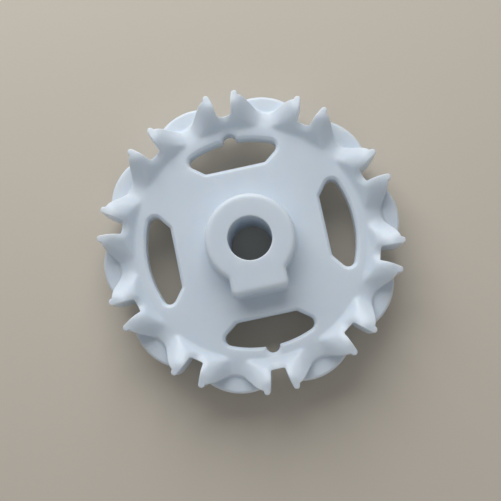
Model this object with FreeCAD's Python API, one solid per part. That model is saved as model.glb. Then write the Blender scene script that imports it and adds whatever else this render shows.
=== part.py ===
import FreeCAD, Part
import math
import os

os.makedirs("parts", exist_ok=True)

# Belt sprocket for a plastic slat chain, moulded in one piece. Sizes are in millimetres.
# The shaft runs along Z and the middle of the chain lies on z = 0.
# One pair of horns points along +Y, and the boss on the hub points along -Y.

# Chain and horns
tooth_count = 10
chain_pitch = 50.0
horn_above_pitch = 6.3        # horn tips stand this far outside the pitch circle
horn_half_height = 17.2       # crest of the horns, measured from the middle plane
horn_top_fall = 11.0          # degrees, from the crest down to the tips
tip_round = 2.0               # radius of a horn tip, seen from above
tip_land = 0.12               # how much of that round the outside cylinder takes off
tip_wrap = 10.0               # degrees of the tip round that the gap leaves to the outside cylinder
tip_spacing = 16.3            # between the two tip centres of a pair
horn_back_radius = 75.0       # slight bow of the horn walls that face the gap

# Gap between the two horns of a pair
gap_below_pitch = 6.6         # depth of the gap floor inside the pitch circle
gap_floor_width = 7.5
gap_draft = 1.2               # degrees, each way from the parting line on z = 0

# Ramp from the web up to the crest of the horns
ramp_before_gap = 6.5         # from the gap floor in to the foot of the ramp
ramp_angle = 56.0             # degrees above the web
crest_radius = 4.5            # rounding of the ramp into the falling horn tops

# Saddle in the ramp between the two horns of a pair
saddle_drop = 6.4             # from the crest of the horns to the saddle, at the gap floor
saddle_radius = 6.0
saddle_tilt = 20.0            # degrees, outward rise of the saddle

# Scooped pocket between two pairs of horns, on both faces. Its section is S-shaped on each side.
pocket_fall = 8.0             # degrees, outward slope of the pocket floor
pocket_floor_width = 2.5      # flat middle of the floor, before it bends up
pocket_bend_radius = 8.0      # hollow bend from the floor into the flank
flank_angle = 56.0            # degrees, steepest part of the flank
shoulder_radius = 6.0         # round bend from the flank into the horn top
shoulder_inset = 0.65         # the shoulder ends this far past the inner side of the tip round
shoulder_lift = 0.1           # the shoulder stays this far above the crest, so the two meet at a small angle
bell_depth = 9.7              # the disc shows for this much, on the pocket's centre line
bell_radius = 16.0            # round middle of the pocket's outer edge
bell_turn = 35.0              # degrees from the middle to where that edge turns back
bell_flare_radius = 16.0      # return curve out to the horn tip
pocket_lip_bevel = 1.8        # softens the floor and flanks over that edge

# Thin disc left between the upper and lower horns, lobed with one lobe to each pocket
disc_half_thickness = 2.2
disc_lobe_radius = 31.0
disc_inset = 0.1              # the lobes end this far inside the horn tips
disc_bevel = 1.2

# Web and its four windows
web_half_thickness = 6.0
window_count = 4
window_rim = 7.0              # web left between a window and the foot of the ramp
window_to_boss = 13.9         # web left between a window and the reach of the boss
window_flat_width = 35.0      # straight inner edge
window_slant = 37.2           # degrees, of the slanted edges to the straight one
window_end_radius = 4.0
window_corner_radius = 2.0
window_bevel = 1.7            # soft edge of the windows on both faces
notch_radius = 4.0            # round notch in the outer edge of every second window
notch_depth = 4.0             # its deepest point, outside the window's outer edge

# Hub and boss
bore_diameter = 25.0
hub_diameter = 51.0
hub_half_length = 22.0
hub_edge_round = 2.6
hub_foot_bevel = 1.3
boss_width = 32.2
boss_reach = 30.2             # outer face of the boss, from the shaft axis
boss_corner_round = 3.0
boss_root_round = 2.5         # inside corner where the boss leaves the round hub

# Spare length of the cutting shapes past the material
spare = 3.0

# Sizes that follow from those above
tooth_angle = 360.0 / tooth_count
pitch_radius = chain_pitch / (2 * math.sin(math.pi / tooth_count))
tip_radius = pitch_radius + horn_above_pitch
gap_floor_radius = pitch_radius - gap_below_pitch
ramp_foot = gap_floor_radius - ramp_before_gap
crest_drop = crest_radius * (1 - math.cos(math.radians(ramp_angle)))
ramp_run = (horn_half_height - crest_drop - web_half_thickness) / math.tan(math.radians(ramp_angle))
crest_reach = ramp_foot + ramp_run + crest_radius * math.sin(math.radians(ramp_angle))
tip_centre_radius = tip_radius - tip_round + tip_land
window_outer = ramp_foot - window_rim
window_inner = boss_reach + window_to_boss
cut_radius = tip_radius + spare
cut_height = hub_half_length + spare

# Two points nearer than this are the same point
close = 1e-3

axis = FreeCAD.Vector(0, 0, 1)
origin = FreeCAD.Vector(0, 0, 0)


def at(x, y, z=0.0):
    return FreeCAD.Vector(x, y, z)


def on_circle(centre, radius, degrees):
    # Point on a circle, with the angle counted from +Y towards +X.
    angle = math.radians(degrees)
    return centre + at(radius * math.sin(angle), radius * math.cos(angle))


def line(start, end):
    return Part.LineSegment(start, end).toShape()


def arc(start, middle, end):
    return Part.Arc(start, middle, end).toShape()


def mirrored_in_x(edges):
    return [edge.mirror(origin, at(1, 0)) for edge in edges]


def prism(edges, height):
    # Straight solid on a closed outline in the z = 0 plane, as far below it as above.
    face = Part.Face(Part.Wire(Part.__sortEdges__(edges)))
    face.translate(at(0, 0, -height))
    return face.extrude(at(0, 0, 2 * height))


def turned(shape, degrees):
    copy = shape.copy()
    copy.rotate(origin, axis, degrees)
    return copy


def flipped(shape):
    return shape.mirror(origin, axis)


def upright_edges(shape):
    found = []
    for edge in shape.Edges:
        ends = [vertex.Point for vertex in edge.Vertexes]
        if len(ends) == 2 and (ends[0] - ends[1]).cross(axis).Length < close:
            found.append(edge)
    return found


def blank():
    # Web, ramp and horn ring, turned about the shaft axis from its half section.
    slope = math.radians(ramp_angle)
    fall = math.radians(horn_top_fall)

    def on_crest(angle):
        return at(crest_reach + crest_radius * math.sin(angle), 0,
                  horn_half_height - crest_radius * (1 - math.cos(angle)))

    top_start = on_crest(fall)
    top_end = at(tip_radius, 0, top_start.z - (tip_radius - top_start.x) * math.tan(fall))
    web_middle = at(0, 0, web_half_thickness)
    foot = at(ramp_foot, 0, web_half_thickness)
    upper = [
        line(web_middle, foot),
        line(foot, on_crest(-slope)),
        arc(on_crest(-slope), on_crest((fall - slope) / 2), top_start),
        line(top_start, top_end),
        line(top_end, at(tip_radius, 0)),
        line(at(tip_radius, 0), origin),
        line(origin, web_middle),
    ]
    half = Part.Face(Part.Wire(Part.__sortEdges__(upper))).revolve(origin, axis, 360)
    return half.fuse(flipped(half)).removeSplitter()


def gap_outline(z):
    # Outline of a gap at height z. It is widest on the two horn faces.
    widen = abs(z) * math.tan(math.radians(gap_draft))
    corner = at(gap_floor_width / 2 + widen, gap_floor_radius - widen)
    half_spacing = tip_spacing / 2 + widen
    tip_turn = math.degrees(math.asin(half_spacing / tip_centre_radius))
    tip = on_circle(origin, tip_centre_radius, tip_turn)

    # The horn wall is an arc from the corner of the gap floor that runs smoothly into the tip round.
    reach = (tip - corner).Length
    inner = horn_back_radius - tip_round
    along = (horn_back_radius**2 - inner**2 + reach**2) / (2 * reach)
    aside = math.sqrt(horn_back_radius**2 - along**2)
    ahead = (tip - corner).normalize()
    to_horn = at(ahead.y, -ahead.x)
    wall_centre = corner + ahead * along + to_horn * aside
    tangent = wall_centre + (tip - wall_centre).normalize() * horn_back_radius
    wall_middle = (corner + tangent) * 0.5 - wall_centre
    wall_middle = wall_centre + wall_middle.normalize() * horn_back_radius

    leaving = tip_turn - tip_wrap
    tangent_turn = math.degrees(math.atan2(tangent.x - tip.x, tangent.y - tip.y))
    tip_middle = on_circle(tip, tip_round, (tangent_turn + leaving) / 2)
    out = on_circle(tip, tip_round, leaving)
    far = at(out.x, cut_radius)
    half = [
        line(at(0, corner.y), corner),
        arc(corner, wall_middle, tangent),
        arc(tangent, tip_middle, out),
        line(out, far),
        line(far, at(0, cut_radius)),
    ]
    wire = Part.Wire(Part.__sortEdges__(half + mirrored_in_x(half)))
    wire.translate(at(0, 0, z))
    return wire


def saddle():
    # Round channel that falls inwards along the middle of a gap on +Y, over the gap floor and the ramp.
    tilt = math.radians(saddle_tilt)
    along = at(0, math.cos(tilt), math.sin(tilt))
    upward = at(0, -math.sin(tilt), math.cos(tilt))
    over_gap_floor = at(0, gap_floor_radius, horn_half_height - saddle_drop) + upward * saddle_radius
    inner = gap_floor_radius - ramp_foot + saddle_radius
    length = inner + cut_radius - gap_floor_radius
    return Part.makeCylinder(saddle_radius, length, over_gap_floor - along * inner, along)


def gap_cutter():
    height = horn_half_height + spare
    outlines = [gap_outline(-height), gap_outline(0), gap_outline(height)]
    channel = saddle()
    return Part.makeLoft(outlines, True, True).fuse([channel, flipped(channel)])


def bell_cutter(tip):
    # Outer part of a pocket, outside its bell-shaped edge and between its two horn tips.
    bell_centre = at(0, tip_radius - bell_depth + bell_radius)
    turn_back = on_circle(bell_centre, bell_radius, 180 - bell_turn)
    flare_centre = on_circle(bell_centre, bell_radius + bell_flare_radius, 180 - bell_turn)
    side = tip.x - tip_round
    flare_end_turn = math.degrees(math.asin((side - flare_centre.x) / bell_flare_radius))
    flare_end = on_circle(flare_centre, bell_flare_radius, flare_end_turn)
    on_bell = on_circle(bell_centre, bell_radius, 180 - bell_turn / 2)
    on_flare = on_circle(flare_centre, bell_flare_radius, (flare_end_turn - bell_turn) / 2)
    far = at(side, cut_radius)
    half = [
        arc(at(0, bell_centre.y - bell_radius), on_bell, turn_back),
        arc(turn_back, on_flare, flare_end),
        line(flare_end, far),
        line(far, at(0, cut_radius)),
    ]
    return prism(half + mirrored_in_x(half), horn_half_height + spare)


def trough(tip):
    # Inner part of a pocket: an S-shaped section on each side, that falls outwards. It runs out into the
    # horn tops at their crest, so the section's height follows from there.
    steep = math.radians(flank_angle)
    half_floor = pocket_floor_width / 2
    shoulder = tip.x - tip_round + shoulder_inset
    bends = pocket_bend_radius + shoulder_radius
    flank_run = shoulder - half_floor - bends * math.sin(steep)
    rise = bends * (1 - math.cos(steep)) + flank_run * math.tan(steep)

    def on_bend(angle):
        return at(half_floor + pocket_bend_radius * math.sin(angle), 0,
                  pocket_bend_radius * (1 - math.cos(angle)))

    def on_shoulder(angle):
        return at(shoulder - shoulder_radius * math.sin(angle), 0,
                  rise - shoulder_radius * (1 - math.cos(angle)))

    top = horn_half_height + spare
    half = [
        line(origin, on_bend(0)),
        arc(on_bend(0), on_bend(steep / 2), on_bend(steep)),
        line(on_bend(steep), on_shoulder(steep)),
        arc(on_shoulder(steep), on_shoulder(steep / 2), on_shoulder(0)),
        line(on_shoulder(0), at(shoulder, 0, rise + top)),
        line(at(shoulder, 0, rise + top), at(0, 0, rise + top)),
    ]
    section = Part.Face(Part.Wire(Part.__sortEdges__(half + mirrored_in_x(half))))
    crest_y = math.sqrt(crest_reach**2 - shoulder**2)
    inward = crest_y - ramp_foot + window_rim
    section.translate(at(0, -inward))
    cutter = section.extrude(at(0, inward + cut_radius - crest_y))
    cutter.rotate(origin, at(1, 0), -pocket_fall)
    cutter.translate(at(0, crest_y, horn_half_height + shoulder_lift - rise))
    return cutter


def disc_lobe():
    # The disc under one pocket, with bevelled rim. Its centre lies between the shaft and the pocket.
    middle = at(0, tip_radius - disc_inset - disc_lobe_radius, -disc_half_thickness)
    lobe = Part.makeCylinder(disc_lobe_radius, 2 * disc_half_thickness, middle)
    rims = [edge for edge in lobe.Edges if len(edge.Vertexes) == 1]
    return lobe.makeChamfer(disc_bevel, rims)


def upright(face):
    return isinstance(face.Surface, Part.Cylinder) and face.Surface.Axis.cross(axis).Length < close


def lip_edges(cutter):
    # Edges between the bell-shaped wall of a pocket and its floor and flanks.
    found = []
    for edge in cutter.Edges:
        faces = cutter.ancestorsOfType(edge, Part.Face)
        walls = [face for face in faces if upright(face)]
        if len(walls) == 1 and close < abs(edge.CenterOfMass.z) < horn_half_height:
            found.append(edge)
    return found


def pocket_cutter():
    # All that a pocket on +Y takes out of the rim on both faces. The horn tips and the disc stay.
    half_spacing = tip_spacing / 2
    tip_turn = tooth_angle / 2 - math.degrees(math.asin(half_spacing / tip_centre_radius))
    tip = on_circle(origin, tip_centre_radius, tip_turn)
    scoop = trough(tip)
    cutter = bell_cutter(tip).fuse([scoop, flipped(scoop)]).removeSplitter()
    cutter = cutter.makeChamfer(pocket_lip_bevel, lip_edges(cutter))
    past_tips = Part.makeBox(2 * tip.x, cut_radius - tip.y, 2 * cut_height, at(-tip.x, tip.y, -cut_height))
    cutter = cutter.fuse(past_tips)
    for side in (-1, 1):
        horn_tip = Part.makeCylinder(tip_round, 2 * cut_height, at(side * tip.x, tip.y, -cut_height))
        cutter = cutter.cut(horn_tip)
    return cutter.cut(disc_lobe())


def window_cutter():
    # One window, on +Y, with its corners rounded in plan.
    slant = math.radians(window_slant)
    corner = at(window_flat_width / 2, window_inner)
    along = at(math.cos(slant), math.sin(slant))
    across = corner.dot(along)
    length = math.sqrt(across**2 + window_outer**2 - corner.Length**2) - across
    end = corner + along * length
    half = [
        line(at(0, window_inner), corner),
        line(corner, end),
    ]
    outline = half + mirrored_in_x(half) + [arc(end, at(0, window_outer), at(-end.x, end.y))]
    cutter = prism(outline, cut_height)
    ends = [edge for edge in upright_edges(cutter) if edge.Vertexes[0].Y > end.y - close]
    cutter = cutter.makeFillet(window_end_radius, ends)
    inner = [edge for edge in upright_edges(cutter) if edge.Vertexes[0].Y < window_inner + close]
    return cutter.makeFillet(window_corner_radius, inner)


def notch_cutter():
    # A round hole with both ends widened as the window edges are, for the outer edge of a window on +Y.
    place = at(0, window_outer + notch_depth - notch_radius)
    hole = Part.makeCylinder(notch_radius, 2 * cut_height, place - axis * cut_height)
    mouth = Part.makeCone(notch_radius, notch_radius + window_bevel + spare, window_bevel + spare,
                          place + axis * (web_half_thickness - window_bevel))
    return hole.fuse([mouth, flipped(mouth)])


def hub():
    # Round hub and the boss at its side, one height, with every edge rounded.
    height = 2 * hub_half_length
    round_hub = Part.makeCylinder(hub_diameter / 2, height, at(0, 0, -hub_half_length))
    boss = Part.makeBox(boss_width, boss_reach, height, at(-boss_width / 2, -boss_reach, -hub_half_length))
    corners = [edge for edge in upright_edges(boss) if edge.Vertexes[0].Y < -boss_reach + close]
    boss = boss.makeFillet(boss_corner_round, corners)
    solid = round_hub.fuse(boss).removeSplitter()
    roots = [edge for edge in upright_edges(solid) if abs(abs(edge.Vertexes[0].X) - boss_width / 2) < close
             and edge.Vertexes[0].Y > -hub_diameter / 2]
    solid = solid.makeFillet(boss_root_round, roots)
    ends = [edge for edge in solid.Edges if abs(abs(edge.CenterOfMass.z) - hub_half_length) < close]
    return solid.makeFillet(hub_edge_round, ends)


def on_web_face(edge):
    return abs(abs(edge.CenterOfMass.z) - web_half_thickness) < close and edge.BoundBox.ZLength < close


def farthest(edge):
    # How far from the shaft axis an edge reaches.
    return max(at(vertex.X, vertex.Y).Length for vertex in edge.Vertexes)


def web_with_windows():
    web = blank()
    cutter = window_cutter()
    turn = 360 / window_count
    for step in range(window_count):
        web = web.cut(turned(cutter, step * turn))
    rims = [edge for edge in web.Edges if on_web_face(edge) and len(edge.Vertexes) == 2
            and farthest(edge) < window_outer + close]
    web = web.makeChamfer(window_bevel, rims)
    notch = notch_cutter()
    for step in range(0, window_count, 2):
        web = web.cut(turned(notch, step * turn))
    return web


def sprocket():
    hub_solid = hub()
    body = web_with_windows().fuse(hub_solid)
    feet = [edge for edge in body.Edges if on_web_face(edge)
            and farthest(edge) < boss_reach + hub_foot_bevel]
    body = body.makeChamfer(hub_foot_bevel, feet)
    body = body.cut(Part.makeCylinder(bore_diameter / 2, 2 * cut_height, at(0, 0, -cut_height)))
    gap = gap_cutter()
    pocket = pocket_cutter()
    for step in range(tooth_count):
        body = body.cut([turned(gap, step * tooth_angle), turned(pocket, (step + 0.5) * tooth_angle)])
    return body


part = sprocket()
part.exportStep("parts/sprocket.step")
print("sprocket:", len(part.Solids), "solid, valid", part.isValid(), "volume", round(part.Volume), "mm3")
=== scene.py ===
import math

import bpy
import bmesh
import numpy as np
from mathutils import Euler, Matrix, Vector
from mathutils.bvhtree import BVHTree


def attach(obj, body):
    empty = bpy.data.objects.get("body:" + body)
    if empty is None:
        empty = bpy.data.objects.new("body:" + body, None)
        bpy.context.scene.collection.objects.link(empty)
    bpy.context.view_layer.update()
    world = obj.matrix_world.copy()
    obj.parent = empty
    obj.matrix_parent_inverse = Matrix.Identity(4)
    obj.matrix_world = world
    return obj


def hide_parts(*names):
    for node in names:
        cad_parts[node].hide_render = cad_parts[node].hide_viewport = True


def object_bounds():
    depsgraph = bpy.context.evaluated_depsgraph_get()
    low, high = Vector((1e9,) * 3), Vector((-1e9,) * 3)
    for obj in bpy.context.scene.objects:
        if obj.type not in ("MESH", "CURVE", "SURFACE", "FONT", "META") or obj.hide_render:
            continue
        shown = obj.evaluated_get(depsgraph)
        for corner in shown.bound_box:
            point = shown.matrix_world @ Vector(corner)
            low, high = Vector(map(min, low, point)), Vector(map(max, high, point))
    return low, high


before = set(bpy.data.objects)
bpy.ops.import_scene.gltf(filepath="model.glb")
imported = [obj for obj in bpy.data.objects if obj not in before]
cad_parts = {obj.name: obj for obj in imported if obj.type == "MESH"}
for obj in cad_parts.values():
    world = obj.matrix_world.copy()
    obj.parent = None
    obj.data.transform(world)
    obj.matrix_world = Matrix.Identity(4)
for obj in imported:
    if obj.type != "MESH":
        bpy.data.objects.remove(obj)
boundsBefore = [list(corner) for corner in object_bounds()]
print("frame loaded:", sorted(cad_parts))

mm = 0.001


def hexToLinear(code):
    # sRGB hex such as "d9e2e9" to a linear colour with alpha
    linear = []
    for start in (0, 2, 4):
        value = int(code[start:start + 2], 16) / 255
        linear.append(value / 12.92 if value <= 0.04045 else ((value + 0.055) / 1.055) ** 2.4)
    return (*linear, 1.0)


def addNode(material, kind, settings=None, links=None):
    # Adds one node. Settings are its own properties or input values, links are input name: output socket.
    node = material.node_tree.nodes.new(kind)
    for name, value in (settings or {}).items():
        if name in node.inputs:
            node.inputs[name].default_value = value
        else:
            setattr(node, name, value)
    for name, socket in (links or {}).items():
        material.node_tree.links.new(socket, node.inputs[name])
    return node


def newMaterial(name):
    material = bpy.data.materials.new(name)
    material.use_nodes = True
    material.node_tree.nodes.clear()
    return material


# Moulded plastic
moulding = {
    "colours": ("d6e2ee", "e0eaf4"),
    "cloudSize": 26 * mm,             # slow change of shade through the natural white
    "cloudDetail": 2,
    "roughness": (0.31, 0.43),
    "flowSize": 7 * mm,               # patches where the melt met the mould hotter or colder
    "flowDetail": 3,
    "flowRange": (0.3, 0.7),          # values of that noise that get the two roughnesses
    "grainSize": 0.5 * mm,            # spark-eroded grain of the mould, drawn coarser so that it shows
    "grainDetail": 1,
    "grainDepth": 0.004 * mm,
    "ior": 1.48,
    "glowWeight": 0.55,
    "glowDepth": 5.0 * mm,
    "glowColours": (1.0, 0.8, 0.6),   # red light soaks in deepest
}


def mouldedAcetal():
    # Acetal, injection moulded and uncoloured: bluish white, satin with slightly glossier patches,
    # a faint grain, and light that soaks into the thin horns
    material = newMaterial("mouldedAcetal")
    place = addNode(material, "ShaderNodeTexCoord").outputs["Object"]

    def noise(size, detail):
        return addNode(material, "ShaderNodeTexNoise", {"Scale": 1 / size, "Detail": detail},
                       {"Vector": place}).outputs["Fac"]

    shade = addNode(material, "ShaderNodeMixRGB", {
        "Color1": hexToLinear(moulding["colours"][0]),
        "Color2": hexToLinear(moulding["colours"][1]),
    }, {"Fac": noise(moulding["cloudSize"], moulding["cloudDetail"])})
    satin = addNode(material, "ShaderNodeMapRange", {
        "From Min": moulding["flowRange"][0],
        "From Max": moulding["flowRange"][1],
        "To Min": moulding["roughness"][0],
        "To Max": moulding["roughness"][1],
    }, {"Value": noise(moulding["flowSize"], moulding["flowDetail"])})
    grain = addNode(material, "ShaderNodeBump", {"Distance": moulding["grainDepth"]},
                    {"Height": noise(moulding["grainSize"], moulding["grainDetail"])})
    surface = addNode(material, "ShaderNodeBsdfPrincipled", {
        "IOR": moulding["ior"],
        "Subsurface Weight": moulding["glowWeight"],
        "Subsurface Radius": moulding["glowColours"],
        "Subsurface Scale": moulding["glowDepth"],
    }, {
        "Base Color": shade.outputs["Color"],
        "Roughness": satin.outputs["Result"],
        "Normal": grain.outputs["Normal"],
    })
    addNode(material, "ShaderNodeOutputMaterial", links={"Surface": surface.outputs["BSDF"]})
    return material


# The CAD solid has sharp creases where the mould is blended. This finer copy rounds them. Pairs of lengths
# are where a change begins and ends, as distances from the shaft axis or heights above the middle plane.
blending = {
    "weld": 0.001 * mm,        # points of the solid closer than this become one
    "grid": 0.42 * mm,         # mesh spacing before the flat areas are thinned
    "mapStep": 0.3 * mm,       # spacing of the height map of the rim
    "mapBorder": (3, 2),       # steps that the map reaches past the start of the rim and past its outside
    "blurEnd": 3,              # a blur is cut off at this many times its reach
    "leastCover": 1e-9,        # keeps a division by the covered share off zero
    "reach": 1.9 * mm,         # how far the horns and pockets blend into each other
    "footReach": 0.9 * mm,     # the same at the foot of the ramps
    "foot": (69.5 * mm, 74.0 * mm),       # distances between which the first reach takes over
    "edgeReach": 0.5 * mm,     # how far the stretch of a wall is carried past its edges
    "edgePasses": 3,           # light rounding of every edge
    "wallSlope": 0.22,         # a face whose normal rises less than this is a wall
    "rimStart": (61.0 * mm, 65.0 * mm),   # distances between which the blending sets in
    "lipLevel": (3.0 * mm, 4.8 * mm),     # heights between which it sets in
    "discLevel": 2.4 * mm,     # the thin disc between the horns lies below this height
    "web": 6.0 * mm,           # height of the web's upper face
    "lift": 0.06,              # gives back some of the height that the blur takes off the horns' inner ends
    "liftEnd": (76.0 * mm, 86.0 * mm),    # distances between which the lift fades out
    "passFactor": 0.5,         # strength of one pass of rounding
    "hubPasses": 30,           # wider rounding of the outer edges of the hub and boss
    "hubLevel": 10.0 * mm,     # it works above this height
    "hubStart": 17.0 * mm,     # and past this distance, clear of the bore
    "triangles": 190000,
}


# Slanted facet on each horn, between its ramp and its flank, in a frame with the gap between two horns
# on +Y. It goes through the point given by aside (along X), out (along Y) and height.
corner = {
    "horns": 10,               # pairs
    "aside": 8.0 * mm,
    "out": 72.5 * mm,
    "height": 13.0 * mm,
    "turn": math.radians(48),  # level lines of the facet, from the middle line of the gap
    "slope": math.radians(34),
}


def rise(values, limits):
    # 0 below the first limit, 1 above the second, smooth between
    share = np.clip((values - limits[0]) / (limits[1] - limits[0]), 0, 1)
    return share * share * (3 - 2 * share)


def spread(field, reach):
    # Soft blur along both axes of a map
    end = blending["blurEnd"] * reach
    span = np.arange(-end, end + blending["mapStep"], blending["mapStep"])
    kernel = np.exp(-0.5 * (span / reach) ** 2)
    for axis in (0, 1):
        field = np.apply_along_axis(np.convolve, axis, field, kernel, "same")
    return field


def mapOfRim(node):
    # Height of the upper face over each place of an even grid, looking down. It is zero off the rim,
    # on the disc and on walls.
    rays = BVHTree.FromPolygons([vertex.co for vertex in node.data.vertices],
                                [face.vertices for face in node.data.polygons])
    inside, outside = blending["mapBorder"]
    half = math.ceil(boundsBefore[1][0] / blending["mapStep"]) + outside
    heights = np.zeros((2 * half + 1, 2 * half + 1))
    places = np.arange(-half, half + 1) * blending["mapStep"]
    top = 2 * boundsBefore[1][2]
    start = blending["rimStart"][0] - inside * blending["mapStep"]
    for row, x in enumerate(places):
        for column, y in enumerate(places):
            if math.hypot(x, y) > start:
                hit, normal = rays.ray_cast(Vector((x, y, top)), Vector((0, 0, -1)))[:2]
                if hit and hit.z > blending["discLevel"] and abs(normal.z) > blending["wallSlope"]:
                    heights[row, column] = hit.z
    return places, heights


def readMap(places, field, x, y):
    # Value of a map at points between its places
    across = (x - places[0]) / blending["mapStep"]
    along = (y - places[0]) / blending["mapStep"]
    row = np.clip(across.astype(int), 0, len(places) - 2)
    column = np.clip(along.astype(int), 0, len(places) - 2)
    across, along = across - row, along - column
    return ((field[row, column] * (1 - across) + field[row + 1, column] * across) * (1 - along)
            + (field[row, column + 1] * (1 - across) + field[row + 1, column + 1] * across) * along)


def meshNumbers(items, name, width):
    # One property of every vertex, as rows of numbers
    numbers = np.empty(len(items) * width, dtype=np.float32)
    items.foreach_get(name, numbers)
    return numbers.reshape(-1, width).astype(np.float64)


def applyModifiers(piece):
    bpy.context.view_layer.update()
    evaluated = piece.evaluated_get(bpy.context.evaluated_depsgraph_get())
    data = bpy.data.meshes.new_from_object(evaluated)
    piece.modifiers.clear()
    piece.data = data
    return data


def cutCorners(places, heights):
    # The facets take the corner between ramp and flank off, down to the web at most
    x, y = np.meshgrid(places, places, indexing="ij")
    step = 2 * math.pi / corner["horns"]
    turn = np.arctan2(x, y)
    turn = np.abs(turn - step * np.round(turn / step))
    aside = np.hypot(x, y) * np.sin(turn) - corner["aside"]
    out = np.hypot(x, y) * np.cos(turn) - corner["out"]
    fall = aside * math.cos(corner["turn"]) - out * math.sin(corner["turn"])
    facet = corner["height"] - fall * math.tan(corner["slope"])
    return np.minimum(heights, np.maximum(facet, blending["web"]))


def spreadInside(field, covered, reach):
    # The same blur with nothing let in from places off the rim
    return spread(field * covered, reach) / np.maximum(spread(covered, reach), blending["leastCover"])


def blendRim(data, node):
    # Faces take the blurred heights and walls are stretched to meet them, mirrored on the lower half
    places, heights = mapOfRim(node)
    covered = (heights > 0).astype(float)
    cut = cutCorners(places, heights)
    radii = np.hypot(*np.meshgrid(places, places))
    horns = spreadInside(cut, covered, blending["reach"])
    soft = spreadInside(cut, covered, blending["footReach"])
    soft += rise(radii, blending["foot"]) * (horns - soft)
    lift = blending["lift"] * rise(radii, blending["foot"]) * (1 - rise(radii, blending["liftEnd"]))
    soft += lift * (soft - blending["web"])
    share = rise(heights, blending["lipLevel"])
    stretch = 1 + share * (soft / np.maximum(heights, blending["discLevel"]) - 1)
    stretch = spreadInside(stretch, covered, blending["edgeReach"])
    corners = meshNumbers(data.vertices, "co", 3)
    normals = meshNumbers(data.vertices, "normal", 3)
    radius = np.hypot(corners[:, 0], corners[:, 1])
    level = np.abs(corners[:, 2])
    rim = rise(radius, blending["rimStart"])
    softLevel = readMap(places, soft, corners[:, 0], corners[:, 1])
    onFace = level + rise(level, blending["lipLevel"]) * (softLevel - level)
    wallStretch = readMap(places, stretch, corners[:, 0], corners[:, 1])
    onWall = level * np.where(wallStretch > 0, wallStretch, 1)
    wall = np.abs(normals[:, 2]) < blending["wallSlope"]
    level += rim * (np.where(wall, onWall, onFace) - level)
    corners[:, 2] = np.sign(corners[:, 2]) * level
    data.vertices.foreach_set("co", corners.astype(np.float32).ravel())
    data.update()


def groupHub(piece):
    # Name of a new group of vertices on the outside of the hub and the boss
    corners = meshNumbers(piece.data.vertices, "co", 3)
    radius = np.hypot(corners[:, 0], corners[:, 1])
    chosen = (np.abs(corners[:, 2]) > blending["hubLevel"]) & (radius > blending["hubStart"])
    group = piece.vertex_groups.new(name="hub")
    group.add(np.flatnonzero(chosen & (radius < blending["rimStart"][0])).tolist(), 1.0, "REPLACE")
    return group.name


def addPasses(piece, name, passes, group=""):
    # Modifier that rounds edges, all over or in one group of vertices
    rounding = piece.modifiers.new(name, "SMOOTH")
    rounding.factor = blending["passFactor"]
    rounding.iterations = passes
    rounding.vertex_group = group


def softMoulding(node):
    # The sprocket's finer mesh: an even grid over the solid, blended, rounded and thinned
    mesh = bmesh.new()
    mesh.from_mesh(node.data)
    bmesh.ops.remove_doubles(mesh, verts=mesh.verts, dist=blending["weld"])
    data = bpy.data.meshes.new("sprocketMoulding")
    mesh.to_mesh(data)
    mesh.free()
    piece = bpy.data.objects.new("sprocketMoulding", data)
    bpy.context.scene.collection.objects.link(piece)
    remesh = piece.modifiers.new("evenGrid", "REMESH")
    remesh.mode = "VOXEL"
    remesh.voxel_size = blending["grid"]
    data = applyModifiers(piece)
    print("even grid:", len(data.polygons), "faces")
    blendRim(data, node)
    print("rim blended")
    addPasses(piece, "roundHub", blending["hubPasses"], groupHub(piece))
    addPasses(piece, "roundEdges", blending["edgePasses"])
    thin = piece.modifiers.new("thinFlats", "DECIMATE")
    # Each face of the grid has four sides and counts as two triangles
    thin.ratio = blending["triangles"] / (2 * len(data.polygons))
    data = applyModifiers(piece)
    for face in data.polygons:
        face.use_smooth = True
    print("thinned:", len(data.polygons), "faces")
    return piece


sprocket = softMoulding(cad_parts["sprocket"])
sprocket.data.materials.clear()
sprocket.data.materials.append(mouldedAcetal())
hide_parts("sprocket")
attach(sprocket, "root")
print("sprocket dressed")


# Plain pale floor under the hub
floor = {
    "colour": "d2cabd",
    "side": 6.0,
    "roughness": 0.9,
    "gap": 0.02 * mm,  # below the hub's lower face, because two faces in one plane would flicker
}


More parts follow.
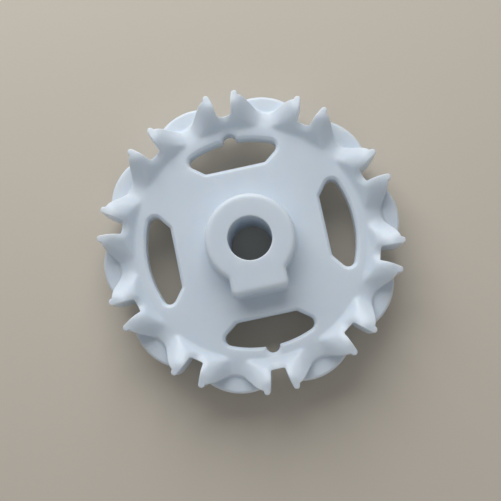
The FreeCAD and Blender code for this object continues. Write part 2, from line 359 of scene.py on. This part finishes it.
def layFloor():
    mesh = bmesh.new()
    bmesh.ops.create_grid(mesh, x_segments=1, y_segments=1, size=floor["side"] / 2)
    bmesh.ops.translate(mesh, vec=(0, 0, boundsBefore[0][2] - floor["gap"]), verts=mesh.verts)
    data = bpy.data.meshes.new("floor")
    mesh.to_mesh(data)
    mesh.free()
    material = newMaterial("paleFloor")
    surface = addNode(material, "ShaderNodeBsdfPrincipled", {
        "Base Color": hexToLinear(floor["colour"]),
        "Roughness": floor["roughness"],
    })
    addNode(material, "ShaderNodeOutputMaterial", links={"Surface": surface.outputs["BSDF"]})
    data.materials.append(material)
    plate = bpy.data.objects.new("floor", data)
    bpy.context.scene.collection.objects.link(plate)


layFloor()
print("floor laid")


# A large soft lamp from the far side of the sprocket, as in the photograph, a weak low one from the near
# side and an even sky
studio = {
    "skyColour": "ffffff",
    "skyStrength": 0.23,
    "lamps": {
        "farLamp": {"from": (-0.05, 0.87, 0.60), "side": 1.1, "power": 11.2},
        "nearLamp": {"from": (0.10, -0.90, 0.32), "side": 0.75, "power": 1.0},
    },
}


def lightStudio():
    world = bpy.data.worlds.new("studioSky")
    world.use_nodes = True
    background = world.node_tree.nodes["Background"]
    background.inputs["Color"].default_value = hexToLinear(studio["skyColour"])
    background.inputs["Strength"].default_value = studio["skyStrength"]
    bpy.context.scene.world = world
    for name, settings in studio["lamps"].items():
        lamp = bpy.data.lights.new(name, "AREA")
        lamp.shape = "SQUARE"
        lamp.size = settings["side"]
        lamp.energy = settings["power"]
        holder = bpy.data.objects.new(name, lamp)
        holder.location = settings["from"]
        holder.rotation_euler = Vector(settings["from"]).to_track_quat("Z", "Y").to_euler()
        bpy.context.scene.collection.objects.link(holder)


lightStudio()
print("studio lit")


# Camera as in the photograph: almost straight above the sprocket, turned twelve degrees
camera = {
    "place": (3.91 * mm, -59.47 * mm, 462.22 * mm),
    "turn": (6.502, 2.047, -11.951),  # degrees about X, Y and Z
    "lens": 57.485,
    "sensor": 36.0,
    "nearest": 10 * mm,
}


def setCamera():
    data = bpy.data.cameras.new("camera")
    data.lens = camera["lens"]
    data.sensor_width = camera["sensor"]
    data.clip_start = camera["nearest"]
    holder = bpy.data.objects.new("camera", data)
    holder.location = camera["place"]
    holder.rotation_euler = Euler([math.radians(angle) for angle in camera["turn"]])
    bpy.context.scene.collection.objects.link(holder)
    bpy.context.scene.camera = holder


setCamera()
bpy.context.scene.view_settings.view_transform = "Standard"
print("camera set")
